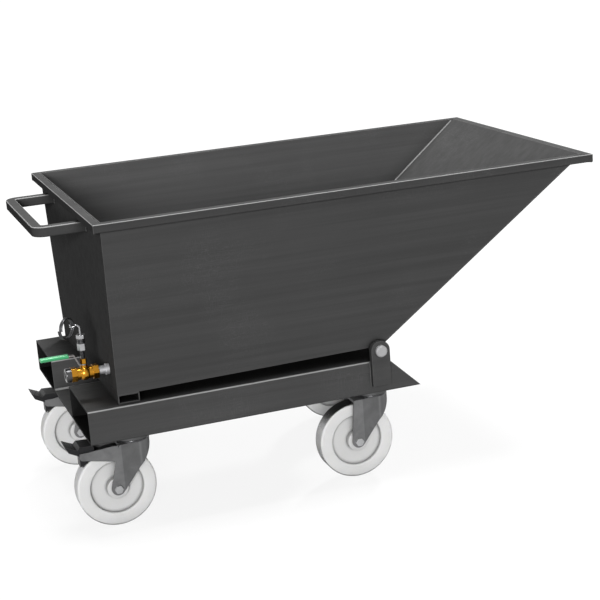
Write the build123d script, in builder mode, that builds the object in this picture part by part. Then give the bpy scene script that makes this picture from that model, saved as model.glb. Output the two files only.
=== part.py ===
from build123d import *
import os
from math import acos, atan2, cos, hypot, radians, sin

# Tipping swarf trolley. Sizes are in mm. X points to the lip, Y to the left, Z up, floor at Z = 0.

# Trough
rim_length = 1283.0
rim_width = 800.0
rim_height = 792.0
rim_tube = 20.0
rim_wall = 2.0
rim_edge = 2.0
sheet = 3.0
side_flare = 51.0
floor_length = 681.0
floor_rise = 8.0
rear_lean = 8.5
foot_height = 23.0
foot_length = 53.0
foot_wall = 3.0

# Push handle
handle_tube = 25.0
handle_wall = 2.0
handle_edge = 3.0
handle_bend = 20.0
handle_width = 430.0
handle_reach = 107.0
handle_drop = 26.0

# Base with fork pockets
base_margin = 17.0
pocket_width = 228.0
pocket_height = 85.0
pocket_wall = 5.0
pocket_edge = 4.0
base_overhang = 51.0
nose_ahead = 23.0
nose_length = 87.0
plate_thickness = 4.0
beam_length = 60.0
beam_height = 70.0
beam_wall = 4.0

# Tipping hinge
hinge_behind = 15.5
hinge_below = 3.0
hinge_plate_width = 50.0
hinge_plate_thickness = 15.0
hinge_plate_reach = 92.0
hinge_plate_edge = 1.5
hinge_pin_diameter = 20.0
hinge_head_diameter = 30.0
hinge_head_length = 10.0
hinge_head_chamfer = 3.0
lug_radius = 20.0

# Castors
castor_height = 251.0
castor_trail = 54.0
rear_castor_inset = 122.5
front_castor_lead = 15.0
castor_plate_length = 135.0
castor_plate_width = 110.0
castor_plate_thickness = 5.0
castor_bolt_length_spacing = 105.0
castor_bolt_width_spacing = 80.0
castor_bolt_diameter = 10.0
castor_bolt_flats = 17.0
castor_bolt_head = 6.4
neck_diameter = 64.0
neck_height = 16.0
race_diameter = 85.0
race_height = 11.0
lower_race_diameter = 76.0
lower_race_height = 6.5
kingpin_diameter = 14.0
kingpin_nut_flats = 22.0
kingpin_nut_height = 8.0

# Wheels
wheel_diameter = 200.0
wheel_width = 46.0
wheel_edge = 5.0
wheel_recess_diameter = 134.0
wheel_recess = 10.0
wheel_recess_edge = 4.0
hub_diameter = 54.0
hub_length = 58.0
bush_diameter = 20.0
axle_diameter = 12.0
axle_head_flats = 19.0
axle_head_height = 8.0

# Castor forks, drawn about the swivel axis
fork_width = 72.0
fork_sheet = 4.0
fork_web = 6.0
fork_leg_radius = 17.0
fork_leg_lean = 7.0
braked_leg_lean = -12.0
fork_front = 42.0
fork_nose_x = 8.0
fork_nose_width = 60.0
fork_brow = 9.0
fork_knee_height = 146.0
fork_bulge = 5.0

# Brakes on the two rear castors
wing_rear = 140.0
wing_root = 44.0
wing_root_height = 170.0
wing_tip_below = 12.0
wing_tip_above = 4.0
wing_corner = 6.0
pedal_pivot_x = 112.0
pedal_pivot_rise = 2.0
pedal_pivot_diameter = 10.0
pedal_pivot_cover = 1.5
pedal_width = 56.0
pedal_shoe_width = 30.0
pedal_toe_x = 173.0
pedal_toe_rise = 26.0
brake_turn = 8.0

# Drain valve
drain_side = 65.0
drain_rise = 50.0
nipple_length = 27.0
nipple_diameter = 21.0
nipple_bore = 15.0
nipple_seat = 12.0
nipple_collar_diameter = 27.0
nipple_collar_length = 9.0
valve_length = 66.0
valve_flats = 32.0
valve_hex_length = 14.0
valve_barrel_diameter = 30.0
valve_globe_diameter = 36.0
valve_ball_diameter = 25.0
bonnet_diameter = 18.0
bonnet_height = 20.5
stem_diameter = 8.5
lever_length = 103.0
lever_width = 10.0
lever_thickness = 3.0
lever_root = 9.0
lever_rise = 25.0
lever_crank_start = 10.0
lever_crank_end = 21.0
grip_start = 35.0
grip_width = 15.0
grip_height = 9.0
grip_end = 2.0
lever_nut_flats = 14.0
lever_nut_height = 12.0
outlet_length = 14.0
outlet_diameter = 34.0
outlet_bore = 18.6
outlet_edge = 2.5

# Strainer inside the trough, in front of the drain
strainer_width = 110.0
strainer_height = 70.0
strainer_depth = 10.0
strainer_sheet = 2.0
strainer_hole = 6.0
strainer_pitch = 12.0

# Lever catch on top of the valve stem
catch_rise = 22.0
catch_travel = 8.0
catch_flats = 19.0
catch_sleeve_height = 16.5
catch_seat = 6.0
catch_collar_diameter = 19.0
catch_collar_height = 12.5
catch_groove = 2.0
catch_nut_height = 9.0
catch_pin_diameter = 4.5
catch_pin_rise = 24.0
catch_pin_bend = 8.0
catch_pin_arm = 13.0
ring_diameter = 49.0
ring_wire = 5.0
ring_turn = 41.5

# Clearances
rest_gap = 0.3
running_gap = 0.05
hinge_gap = 1.0
swivel_gap = 0.5
bolt_gap = 0.5
seat_gap = 0.1
ball_gap = 0.3
shoe_gap = 0.5

# Heights and places that follow from the sizes above
base_bottom = castor_height
base_top = base_bottom + pocket_height
floor_z = base_top + rest_gap + foot_height
side_half_top = rim_width / 2 - rim_tube
side_half_floor = side_half_top - side_flare
side_rise = rim_height - floor_z
taper = atan2(side_half_top - side_half_floor, side_rise)
drain_z = floor_z + drain_rise
drain_y = drain_side - side_half_floor


def wall_setback(height):
    """Distance from the rear of the rim to the outer face of the rear wall at a height."""
    return rim_tube + rear_lean * (rim_height - height) / side_rise


lever_reach = nipple_length + valve_length / 2 + lever_length - wall_setback(drain_z)
toe_reach = pedal_toe_x + base_overhang - rear_castor_inset
rear_reach = max(handle_reach, lever_reach, toe_reach)
rim_front = (rim_length + rear_reach) / 2
rim_rear = rim_front - rim_length
corner_x = rim_rear + wall_setback(floor_z) + floor_length
corner_z = floor_z + floor_rise
hinge_x = corner_x - hinge_behind
hinge_z = corner_z - hinge_below
base_rear = rim_rear - base_overhang
nose_top_x = hinge_x + nose_ahead
nose_tip_x = nose_top_x + nose_length
base_half = side_half_floor + base_margin
pocket_y = base_half - pocket_width / 2
pocket_inner_y = base_half - pocket_width
valve_wall_x = rim_rear + wall_setback(drain_z)
valve_near_x = valve_wall_x - nipple_length
valve_x = valve_near_x - valve_length / 2
valve_far_x = valve_near_x - valve_length
wheel_radius = wheel_diameter / 2
plate_bottom = castor_height - castor_plate_thickness
race_top = plate_bottom - neck_height
race_bottom = race_top - race_height
fork_top = race_bottom - swivel_gap - lower_race_height
web_bottom = fork_top - fork_web
fork_half = fork_width / 2
fork_inner = fork_half - fork_sheet
pedal_pivot_height = wheel_diameter + pedal_pivot_rise
pedal_toe_height = pedal_pivot_height + pedal_toe_rise
wing_tip_low = pedal_pivot_height - wing_tip_below
wing_tip_high = pedal_pivot_height + wing_tip_above
front_castor_x = hinge_x + front_castor_lead
rear_castor_x = base_rear + rear_castor_inset
turned_castor = "front_left"
castors = (
    ("front_left", front_castor_x, pocket_y, False),
    ("front_right", front_castor_x, -pocket_y, False),
    ("rear_left", rear_castor_x, pocket_y, True),
    ("rear_right", rear_castor_x, -pocket_y, True),
)
os.makedirs("parts", exist_ok=True)


def save(piece, node):
    """Name a finished piece and write it as one STEP file."""
    piece.part.label = node
    export_step(piece.part, f"parts/{node}.step")


def disc(plane, diameter, bore=0.0):
    """Round face, with a hole where a bore is given."""
    with BuildSketch(plane) as face:
        Circle(diameter / 2)
        if bore:
            Circle(bore / 2, mode=Mode.SUBTRACT)
    return face.sketch


def hexagon(plane, flats):
    """Six-sided face, sized across its flats."""
    with BuildSketch(plane) as face:
        RegularPolygon(flats / 2, 6, major_radius=False)
    return face.sketch


def outline(plane, points):
    """Flat face with straight edges through the given points."""
    with BuildSketch(plane) as face:
        with BuildLine():
            Polyline(*points, close=True)
        make_face()
    return face.sketch


def box_face(plane, width, height):
    """Rectangle centred on the plane's origin."""
    with BuildSketch(plane) as face:
        Rectangle(width, height)
    return face.sketch


def up(x, y, z):
    """Plane that faces up at a place."""
    return Plane(origin=(x, y, z))


def side(x, y, z=0.0):
    """Plane that faces right at a place, with X across and Z up."""
    return Plane(origin=(x, y, z), x_dir=(1, 0, 0), z_dir=(0, -1, 0))


def rearward(x, y, z):
    """Plane that faces the rear at a place, with Y across."""
    return Plane(origin=(x, y, z), x_dir=(0, -1, 0), z_dir=(-1, 0, 0))


def mirrored(piece):
    """The same piece for the other side of the trolley."""
    with BuildPart() as twin:
        mirror(piece.part, about=Plane.XZ)
    return twin


# Trough walls: the side view is drawn once, and the corners inside it follow from the sheet.
side_view = [
    Vector(rim_rear + rim_tube, rim_height),
    Vector(rim_rear + wall_setback(floor_z), floor_z),
    Vector(corner_x, corner_z),
    Vector(rim_front - rim_tube, rim_height),
]


def inward(start, end):
    """Unit vector into the trough, square to an edge of the side view."""
    run = (end - start).normalized()
    return Vector(-run.Y, run.X)


def inner_corner(index):
    """Corner of the side view moved in by the sheet thickness."""
    before = inward(side_view[index - 1], side_view[index])
    after = inward(side_view[index], side_view[index + 1])
    return side_view[index] + (before + after) * (sheet / (1 + before.dot(after)))


rear_normal = inward(side_view[0], side_view[1])
chute_normal = inward(side_view[2], side_view[3])
inner_view = [
    side_view[0] + Vector(sheet / rear_normal.X, 0),
    inner_corner(1),
    inner_corner(2),
    side_view[3] + Vector(sheet / chute_normal.X, 0),
]
right_face = Plane(
    origin=(0, -side_half_top, rim_height),
    x_dir=(1, 0, 0),
    z_dir=(0, -cos(taper), -sin(taper)),
)
left_face = Plane(
    origin=(0, side_half_top, rim_height),
    x_dir=(1, 0, 0),
    z_dir=(0, cos(taper), -sin(taper)),
)


def cross_sheet(index):
    """Sheet between the side walls, from one corner of the side view to the next."""
    strip = (side_view[index], side_view[index + 1], inner_view[index + 1], inner_view[index])
    with BuildPart() as panel:
        extrude(outline(Plane.XZ, [(p.X, p.Y) for p in strip]), amount=side_half_top, both=True)
        split(bisect_by=right_face.offset(-sheet), keep=Keep.BOTTOM)
        split(bisect_by=left_face.offset(-sheet), keep=Keep.BOTTOM)
    return panel


rear_panel = cross_sheet(0)
with BuildPart() as rear_wall:
    add(rear_panel.part)
    extrude(
        disc(rearward(valve_wall_x, drain_y, drain_z), nipple_diameter + 2 * seat_gap),
        amount=3 * sheet,
        both=True,
        mode=Mode.SUBTRACT,
    )
save(rear_wall, "rear_wall")
save(cross_sheet(1), "floor_sheet")
save(cross_sheet(2), "chute_sheet")

with BuildPart() as side_wall:
    slope = [(p.X, (p.Y - rim_height) / cos(taper)) for p in side_view]
    extrude(outline(right_face, slope), amount=-sheet)
    split(bisect_by=Plane.XY.offset(rim_height), keep=Keep.BOTTOM)
save(side_wall, "side_wall_right")
save(mirrored(side_wall), "side_wall_left")


def between(start, end, share):
    """Place part of the way from one point to another."""
    return (start[0] + (end[0] - start[0]) * share, start[1] + (end[1] - start[1]) * share)


def rim_piece(run, outer_start, outer_end, inner_end, inner_start):
    """Square tube of the rim with mitred ends, drawn from above."""
    low = rim_height - rim_tube
    wall = rim_wall / rim_tube
    hollow = (
        between(outer_start, inner_start, wall),
        between(outer_end, inner_end, wall),
        between(outer_end, inner_end, 1 - wall),
        between(outer_start, inner_start, 1 - wall),
    )
    with BuildPart() as tube:
        corners = (outer_start, outer_end, inner_end, inner_start)
        extrude(outline(up(0, 0, low), corners), amount=rim_tube)
        fillet(tube.edges().filter_by(run), rim_edge)
        extrude(
            outline(up(0, 0, low + rim_wall), hollow),
            amount=rim_tube - 2 * rim_wall,
            mode=Mode.SUBTRACT,
        )
    return tube


rim_out = [(rim_rear, -rim_width / 2), (rim_front, -rim_width / 2)]
rim_out += [(rim_front, rim_width / 2), (rim_rear, rim_width / 2)]
rim_in = [(rim_rear + rim_tube, -side_half_top), (rim_front - rim_tube, -side_half_top)]
rim_in += [(rim_front - rim_tube, side_half_top), (rim_rear + rim_tube, side_half_top)]
for index, node in enumerate(("rim_right", "rim_front", "rim_left", "rim_rear")):
    after = (index + 1) % 4
    run = (Axis.X, Axis.Y)[index % 2]
    save(rim_piece(run, rim_out[index], rim_out[after], rim_in[after], rim_in[index]), node)

# Push handle: one bent square tube, welded to the rear wall under the rim.
handle_z = rim_height - handle_drop - handle_tube / 2
handle_bar_x = rim_rear - handle_reach + handle_tube / 2
handle_arm_y = (handle_width - handle_tube) / 2
handle_wall_x = rim_rear + wall_setback(handle_z + handle_tube / 2)
with BuildPart() as push_handle:
    with BuildLine():
        FilletPolyline(
            (handle_wall_x, -handle_arm_y, handle_z),
            (handle_bar_x, -handle_arm_y, handle_z),
            (handle_bar_x, handle_arm_y, handle_z),
            (handle_wall_x, handle_arm_y, handle_z),
            radius=handle_bend,
        )
    with BuildSketch(rearward(handle_wall_x, -handle_arm_y, handle_z)):
        RectangleRounded(handle_tube, handle_tube, handle_edge)
        bore = handle_tube - 2 * handle_wall
        Rectangle(bore, bore, mode=Mode.SUBTRACT)
    sweep()
save(push_handle, "push_handle")

# Foot tube across the rear of the trough. It sets the trough down on the base.
foot_x = rim_rear + wall_setback(floor_z)
foot_low = base_top + rest_gap
with BuildPart() as foot_tube:
    foot_view = ((foot_x, foot_low), (foot_x + foot_length, foot_low))
    foot_top = floor_rise / floor_length
    foot_view += ((foot_x + foot_length, floor_z + foot_length * foot_top), (foot_x, floor_z))
    extrude(outline(Plane.XZ, foot_view), amount=side_half_floor, both=True)
    foot_bore = (
        (foot_x + foot_wall, foot_low + foot_wall),
        (foot_x + foot_length - foot_wall, foot_low + foot_wall),
        (foot_x + foot_length - foot_wall, floor_z - foot_wall),
        (foot_x + foot_wall, floor_z - foot_wall),
    )
    extrude(outline(Plane.XZ, foot_bore), amount=2 * side_half_floor, both=True, mode=Mode.SUBTRACT)
save(foot_tube, "foot_tube")

# Base: two fork pockets, cut off at a slant in front so that the chute can swing down.
castor_bolt_places = []
for node, x, y, braked in castors:
    for along in (-1, 1):
        for across in (-1, 1):
            bolt_x = x + along * castor_bolt_length_spacing / 2
            bolt_y = y + across * castor_bolt_width_spacing / 2
            castor_bolt_places.append((bolt_x, bolt_y))
bolt_hole = castor_bolt_diameter + 2 * bolt_gap
nose_face = Plane(
    origin=(nose_top_x, 0, base_top),
    x_dir=(0, 1, 0),
    z_dir=(pocket_height, 0, nose_length),
)
with BuildPart() as fork_pocket:
    pocket_z = base_bottom + pocket_height / 2
    with BuildSketch(Plane(origin=(base_rear, -pocket_y, pocket_z), x_dir=(0, 1, 0), z_dir=(1, 0, 0))):
        RectangleRounded(pocket_width, pocket_height, pocket_edge)
        Rectangle(pocket_width - 2 * pocket_wall, pocket_height - 2 * pocket_wall, mode=Mode.SUBTRACT)
    extrude(amount=nose_tip_x - base_rear)
    split(bisect_by=nose_face, keep=Keep.BOTTOM)
    for x, y in castor_bolt_places:
        if y < 0:
            extrude(disc(up(x, y, base_bottom), bolt_hole), amount=pocket_wall, mode=Mode.SUBTRACT)
save(fork_pocket, "fork_pocket_right")
save(mirrored(fork_pocket), "fork_pocket_left")

with BuildPart() as centre_plate:
    plate_x = (base_rear + nose_top_x) / 2
    extrude(
        box_face(up(plate_x, 0, base_bottom), nose_top_x - base_rear, 2 * pocket_inner_y),
        amount=plate_thickness,
    )
save(centre_plate, "centre_plate")

with BuildPart() as front_cross_beam:
    beam_z = base_bottom + plate_thickness + beam_height / 2
    extrude(box_face(side(hinge_x, 0, beam_z), beam_length, beam_height), amount=pocket_inner_y, both=True)
    extrude(
        box_face(side(hinge_x, 0, beam_z), beam_length - 2 * beam_wall, beam_height - 2 * beam_wall),
        amount=pocket_inner_y,
        both=True,
        mode=Mode.SUBTRACT,
    )
save(front_cross_beam, "front_cross_beam")

# Tipping hinge: plates and pins on the base, lugs on the trough.
pin_hole = hinge_pin_diameter + 2 * running_gap
with BuildPart() as hinge_plate:
    with BuildSketch(side(hinge_x, -base_half, hinge_z)):
        Circle(hinge_plate_width / 2)
        with Locations((0, -hinge_plate_reach / 2)):
            Rectangle(hinge_plate_width, hinge_plate_reach)
        Circle(pin_hole / 2, mode=Mode.SUBTRACT)
    extrude(amount=hinge_plate_thickness)
    fillet(hinge_plate.faces().sort_by(Axis.Y)[0].outer_wire().edges(), hinge_plate_edge)
save(hinge_plate, "hinge_plate_right")
save(mirrored(hinge_plate), "hinge_plate_left")

lug_outer = base_half - hinge_gap
with BuildPart() as hinge_lug:
    extrude(
        disc(side(hinge_x, -lug_outer, hinge_z), 2 * lug_radius, pin_hole),
        amount=-(lug_outer - side_half_floor) * 2,
    )
    split(bisect_by=right_face, keep=Keep.TOP)
save(hinge_lug, "hinge_lug_right")
save(mirrored(hinge_lug), "hinge_lug_left")

with BuildPart() as hinge_pins:
    shank_end = side_half_floor + 2 * sheet
    head_seat = base_half + hinge_plate_thickness
    extrude(disc(side(hinge_x, -shank_end, hinge_z), hinge_pin_diameter), amount=head_seat - shank_end)
    extrude(disc(side(hinge_x, -head_seat, hinge_z), hinge_head_diameter), amount=hinge_head_length)
    chamfer(hinge_pins.faces().sort_by(Axis.Y)[0].edges(), hinge_head_chamfer)
    mirror(about=Plane.XZ)
save(hinge_pins, "hinge_pins")


# Castors
def castor_plate(x, y):
    """Top plate with the upper bearing cup. It stays fixed to the base."""
    with BuildPart() as plate:
        extrude(
            box_face(up(x, y, plate_bottom), castor_plate_length, castor_plate_width),
            amount=castor_plate_thickness,
        )
        fillet(plate.edges().filter_by(Axis.Z), pocket_edge)
        extrude(disc(up(x, y, race_bottom), race_diameter), amount=race_height)
        extrude(disc(up(x, y, race_top), neck_diameter), amount=neck_height)
        for bolt_x, bolt_y in castor_bolt_places:
            if abs(bolt_x - x) < castor_plate_length and abs(bolt_y - y) < castor_plate_width:
                extrude(
                    disc(up(bolt_x, bolt_y, plate_bottom), bolt_hole),
                    amount=castor_plate_thickness,
                    mode=Mode.SUBTRACT,
                )
        extrude(
            disc(up(x, y, race_bottom), kingpin_diameter + 2 * running_gap),
            amount=castor_height - race_bottom,
            mode=Mode.SUBTRACT,
        )
    return plate


def fork_plan(plane, inset, back):
    """Fork seen from above: straight legs that close to a round nose in front."""
    half = fork_half - inset
    nose_half = fork_nose_width / 2 - inset
    crease = fork_leg_radius - castor_trail
    with BuildSketch(plane) as face:
        with BuildLine():
            Polyline((fork_nose_x, nose_half), (crease, half), (back, half), (back, -half))
            Polyline((back, -half), (crease, -half), (fork_nose_x, -nose_half))
            ThreePointArc((fork_nose_x, -nose_half), (fork_front - inset, 0), (fork_nose_x, nose_half))
        make_face()
    return face.sketch


def tangent(point, turn):
    """Place on the leg's round end where a straight edge from a point runs off."""
    dx = point[0] + castor_trail
    dz = point[1] - wheel_radius
    angle = atan2(dz, dx) + turn * acos(fork_leg_radius / hypot(dx, dz))
    return angle


def leg_point(angle):
    """Place on the leg's round end at an angle."""
    x = -castor_trail + fork_leg_radius * cos(angle)
    return (x, wheel_radius + fork_leg_radius * sin(angle))


def fork_side(plane, lean):
    """Fork seen from the side: round at the axle, and cut back in front of the wheel."""
    rear_top = (-castor_trail - lean, fork_top)
    brow = (fork_front, fork_top - fork_brow)
    knee = (fork_nose_x, fork_knee_height)
    front_angle = tangent(knee, -1)
    rear_angle = tangent(rear_top, 1)
    run = hypot(brow[0] - knee[0], brow[1] - knee[1])
    bulge_x = (brow[0] + knee[0]) / 2 + fork_bulge * (brow[1] - knee[1]) / run
    bulge_z = (brow[1] + knee[1]) / 2 - fork_bulge * (brow[0] - knee[0]) / run
    low_angle = (front_angle + rear_angle) / 2 - radians(180)
    with BuildSketch(plane) as face:
        with BuildLine():
            Polyline(leg_point(rear_angle), rear_top, (fork_front, fork_top), brow)
            ThreePointArc(brow, (bulge_x, bulge_z), knee)
            Line(knee, leg_point(front_angle))
            ThreePointArc(leg_point(front_angle), leg_point(low_angle), leg_point(rear_angle))
        make_face()
    return face.sketch


def brake_cheek(plane):
    """Cheek behind the leg, with a round lower corner at its end."""
    with BuildSketch(plane) as face:
        with BuildLine():
            Polyline(
                (-wing_root, wing_root_height),
                (-wing_root, fork_top),
                (-castor_trail - fork_leg_lean, fork_top),
                (-wing_rear, wing_tip_high),
                (-wing_rear, wing_tip_low),
                close=True,
            )
        make_face()
        rear_corners = face.vertices().group_by(Axis.X)[0]
        fillet(rear_corners.sort_by(Axis.Y)[0], wing_corner)
    return face.sketch


def castor_fork(x, y, braked):
    """Fork with the lower bearing cup. Braked forks also carry two cheeks for the pedal."""
    low = wheel_radius - fork_leg_radius
    back = -castor_trail - fork_leg_radius
    pivot_hole = pedal_pivot_diameter + 2 * running_gap
    with BuildPart() as fork:
        extrude(fork_plan(up(x, y, low), 0, back), amount=fork_top - low)
        extrude(
            fork_plan(up(x, y, low), fork_sheet, 2 * back),
            amount=web_bottom - low,
            mode=Mode.SUBTRACT,
        )
        lean = braked_leg_lean if braked else fork_leg_lean
        extrude(fork_side(side(x, y), lean), amount=fork_half, both=True, mode=Mode.INTERSECT)
        if braked:
            for across in (-1, 1):
                middle = side(x, y + across * (fork_half - fork_sheet / 2))
                extrude(brake_cheek(middle), amount=fork_sheet / 2, both=True)
            extrude(
                disc(side(x - pedal_pivot_x, y, pedal_pivot_height), pivot_hole),
                amount=fork_half - pedal_pivot_cover,
                both=True,
                mode=Mode.SUBTRACT,
            )
        extrude(disc(up(x, y, fork_top), lower_race_diameter), amount=lower_race_height)
        extrude(
            disc(up(x, y, web_bottom), kingpin_diameter + 2 * running_gap),
            amount=race_bottom - web_bottom,
            mode=Mode.SUBTRACT,
        )
        extrude(
            disc(side(x - castor_trail, y, wheel_radius), axle_diameter + 2 * running_gap),
            amount=fork_half,
            both=True,
            mode=Mode.SUBTRACT,
        )
    return fork


def turned(piece, x, y):
    """Piece of a castor that stands turned half round about its swivel axis."""
    with BuildPart() as result:
        add(piece.part.rotate(Axis((x, y, 0), (0, 0, 1)), 180))
    return result


def castor_axle(x, y):
    """Axle bolt with its head on one side of the fork and its nut on the other."""
    with BuildPart() as axle:
        extrude(disc(side(x, y, wheel_radius), axle_diameter), amount=fork_half, both=True)
        for across in (-1, 1):
            seat = side(x, y + across * fork_half, wheel_radius)
            extrude(hexagon(seat, axle_head_flats), amount=-across * axle_head_height)
    return axle


def castor_wheel(x, y):
    """Plastic wheel with a recess on both sides and a hub."""
    web_half = wheel_width / 2 - wheel_recess
    profile = [(bush_diameter / 2 + running_gap, hub_length / 2), (hub_diameter / 2, hub_length / 2)]
    profile += [(hub_diameter / 2, web_half), (wheel_recess_diameter / 2, web_half)]
    profile += [(wheel_recess_diameter / 2, wheel_width / 2), (wheel_radius, wheel_width / 2)]
    profile += [(r, -across) for r, across in reversed(profile)]
    with BuildPart() as wheel:
        with BuildSketch(up(x, y, wheel_radius)) as section:
            with BuildLine():
                Polyline(*profile, close=True)
            make_face()
            recess_corners = section.vertices().group_by(Axis.X)[-2].sort_by(Axis.Y)
            fillet([recess_corners[0], recess_corners[-1]], wheel_recess_edge)
            fillet(section.vertices().group_by(Axis.X)[-1], wheel_edge)
        revolve(axis=Axis((x, y, wheel_radius), (0, 1, 0)))
    return wheel


def wheel_bush(x, y):
    """Steel bush in the hub. It runs on the axle."""
    with BuildPart() as bush:
        extrude(
            disc(side(x, y, wheel_radius), bush_diameter, axle_diameter + 2 * running_gap),
            amount=fork_inner - rest_gap,
            both=True,
        )
    return bush


def brake_pedal(x, y):
    """Pedal with its pivot. It clears the tread at rest, and its shoe lies along the tread when pressed."""
    body = (
        (-pedal_pivot_x + 9, pedal_pivot_height - 6),
        (-pedal_pivot_x + 9, pedal_pivot_height + 18),
        (-pedal_pivot_x - 25, pedal_pivot_height + 20),
        (-pedal_pivot_x - 32, pedal_pivot_height + 13),
        (-pedal_toe_x, pedal_toe_height),
        (-pedal_toe_x + 8, pedal_toe_height - 16),
        (-wing_rear - 4, pedal_pivot_height - 1),
        (-wing_rear + 8, pedal_pivot_height - 6),
    )
    shoe = (
        (-pedal_pivot_x - 26, pedal_pivot_height),
        (-pedal_pivot_x - 26, wheel_radius),
        (-pedal_pivot_x - 6, wheel_radius),
        (-pedal_pivot_x - 6, pedal_pivot_height),
    )
    press = radians(brake_turn)
    to_axle = (pedal_pivot_x - castor_trail, wheel_radius - pedal_pivot_height)
    tread_x = x - pedal_pivot_x + to_axle[0] * cos(press) + to_axle[1] * sin(press)
    tread_z = pedal_pivot_height - to_axle[0] * sin(press) + to_axle[1] * cos(press)
    with BuildPart() as pedal:
        extrude(outline(side(x, y), body), amount=pedal_width / 2, both=True)
        extrude(outline(side(x, y), shoe), amount=pedal_shoe_width / 2, both=True)
        for tread in (side(tread_x, y, tread_z), side(x - castor_trail, y, wheel_radius)):
            extrude(
                disc(tread, wheel_diameter + 2 * shoe_gap),
                amount=pedal_width,
                both=True,
                mode=Mode.SUBTRACT,
            )
        pivot = side(x - pedal_pivot_x, y, pedal_pivot_height)
        extrude(disc(pivot, pedal_pivot_diameter), amount=fork_half - pedal_pivot_cover - rest_gap, both=True)
    return pedal


for node, x, y, braked in castors:
    wheel_x = x - castor_trail
    fork = castor_fork(x, y, braked)
    if node == turned_castor:
        wheel_x = x + castor_trail
        fork = turned(fork, x, y)
    save(castor_plate(x, y), f"castor_plate_{node}")
    save(fork, f"castor_fork_{node}")
    save(castor_axle(wheel_x, y), f"castor_axle_{node}")
    save(castor_wheel(wheel_x, y), f"castor_wheel_{node}")
    save(wheel_bush(wheel_x, y), f"wheel_bush_{node}")
    if braked:
        save(brake_pedal(x, y), f"brake_pedal_{node}")

with BuildPart() as castor_kingpins:
    nut_top = web_bottom - swivel_gap
    nut_low = nut_top - kingpin_nut_height
    for node, x, y, braked in castors:
        extrude(disc(up(x, y, nut_low), kingpin_diameter), amount=castor_height - nut_low)
        extrude(hexagon(up(x, y, nut_low), kingpin_nut_flats), amount=kingpin_nut_height)
save(castor_kingpins, "castor_kingpins")

with BuildPart() as castor_bolts:
    head_low = plate_bottom - castor_bolt_head
    for x, y in castor_bolt_places:
        extrude(hexagon(up(x, y, head_low), castor_bolt_flats), amount=castor_bolt_head)
        shank = base_bottom + pocket_wall - plate_bottom
        extrude(disc(up(x, y, plate_bottom), castor_bolt_diameter), amount=shank)
save(castor_bolts, "castor_bolts")

# Drain: nipple through the rear wall, ball valve, outlet and strainer.
stem_top = drain_z + bonnet_height
nipple_in = valve_wall_x + sheet
with BuildPart() as drain_nipple:
    nipple_end = valve_near_x - nipple_seat + seat_gap
    rear_gap = rear_lean * nipple_collar_diameter / side_rise
    extrude(
        disc(rearward(nipple_in, drain_y, drain_z), nipple_diameter, nipple_bore),
        amount=nipple_in - nipple_end,
    )
    extrude(
        disc(rearward(valve_wall_x - rear_gap, drain_y, drain_z), nipple_collar_diameter, nipple_bore),
        amount=nipple_collar_length,
    )
save(drain_nipple, "drain_nipple")

with BuildPart() as valve_body:
    near = rearward(valve_near_x, drain_y, drain_z)
    far = rearward(valve_far_x + valve_hex_length, drain_y, drain_z)
    seat_bore = nipple_diameter + 2 * seat_gap
    extrude(disc(near, valve_barrel_diameter), amount=valve_length)
    extrude(hexagon(near, valve_flats), amount=valve_hex_length)
    extrude(hexagon(far, valve_flats), amount=valve_hex_length)
    with Locations((valve_x, drain_y, drain_z)):
        Sphere(valve_globe_diameter / 2)
    extrude(disc(up(valve_x, drain_y, drain_z), bonnet_diameter), amount=bonnet_height)
    extrude(disc(near, nipple_bore), amount=valve_length, mode=Mode.SUBTRACT)
    extrude(disc(near, seat_bore), amount=nipple_seat, mode=Mode.SUBTRACT)
    outlet_seat = rearward(valve_far_x, drain_y, drain_z)
    extrude(disc(outlet_seat, seat_bore), amount=-nipple_seat, mode=Mode.SUBTRACT)
    with Locations((valve_x, drain_y, drain_z)):
        Sphere(valve_ball_diameter / 2 + ball_gap, mode=Mode.SUBTRACT)
    extrude(
        disc(up(valve_x, drain_y, drain_z), stem_diameter + 2 * running_gap),
        amount=bonnet_height,
        mode=Mode.SUBTRACT,
    )
save(valve_body, "valve_body")

with BuildPart() as outlet_fitting:
    outlet_face = rearward(valve_far_x, drain_y, drain_z)
    extrude(disc(outlet_face, nipple_diameter), amount=-(nipple_seat - seat_gap))
    extrude(disc(outlet_face, outlet_diameter), amount=outlet_length)
    fillet(outlet_fitting.faces().sort_by(Axis.X)[0].edges(), outlet_edge)
    outlet_end = rearward(valve_far_x - outlet_length, drain_y, drain_z)
    extrude(disc(outlet_end, outlet_bore), amount=-outlet_length, mode=Mode.SUBTRACT)
    extrude(disc(outlet_end, nipple_bore), amount=-2 * valve_length, mode=Mode.SUBTRACT)
save(outlet_fitting, "outlet_fitting")

with BuildPart() as valve_ball:
    slot_z = drain_z + valve_ball_diameter / 2 - lever_thickness
    with Locations((valve_x, drain_y, drain_z)):
        Sphere(valve_ball_diameter / 2)
    extrude(
        disc(rearward(valve_x, drain_y, drain_z), nipple_bore),
        amount=valve_ball_diameter,
        both=True,
        mode=Mode.SUBTRACT,
    )
    extrude(
        disc(up(valve_x, drain_y, slot_z), stem_diameter + 2 * running_gap),
        amount=valve_ball_diameter,
        mode=Mode.SUBTRACT,
    )
save(valve_ball, "valve_ball")

lever_low = stem_top + rest_gap
lever_nut_low = lever_low + lever_thickness + seat_gap
pin_low = lever_nut_low
pin_bore = catch_pin_diameter + 2 * running_gap
sleeve_low = lever_nut_low + lever_nut_height + catch_rise
sleeve_top = sleeve_low + catch_sleeve_height
collar_top = sleeve_top + catch_collar_height
stem_end = sleeve_low + catch_seat
with BuildPart() as valve_stem:
    stem_low = slot_z + seat_gap
    extrude(disc(up(valve_x, drain_y, stem_low), stem_diameter), amount=stem_end - stem_low)
    extrude(disc(up(valve_x, drain_y, pin_low), pin_bore), amount=stem_end - pin_low, mode=Mode.SUBTRACT)
save(valve_stem, "valve_stem")

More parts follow.
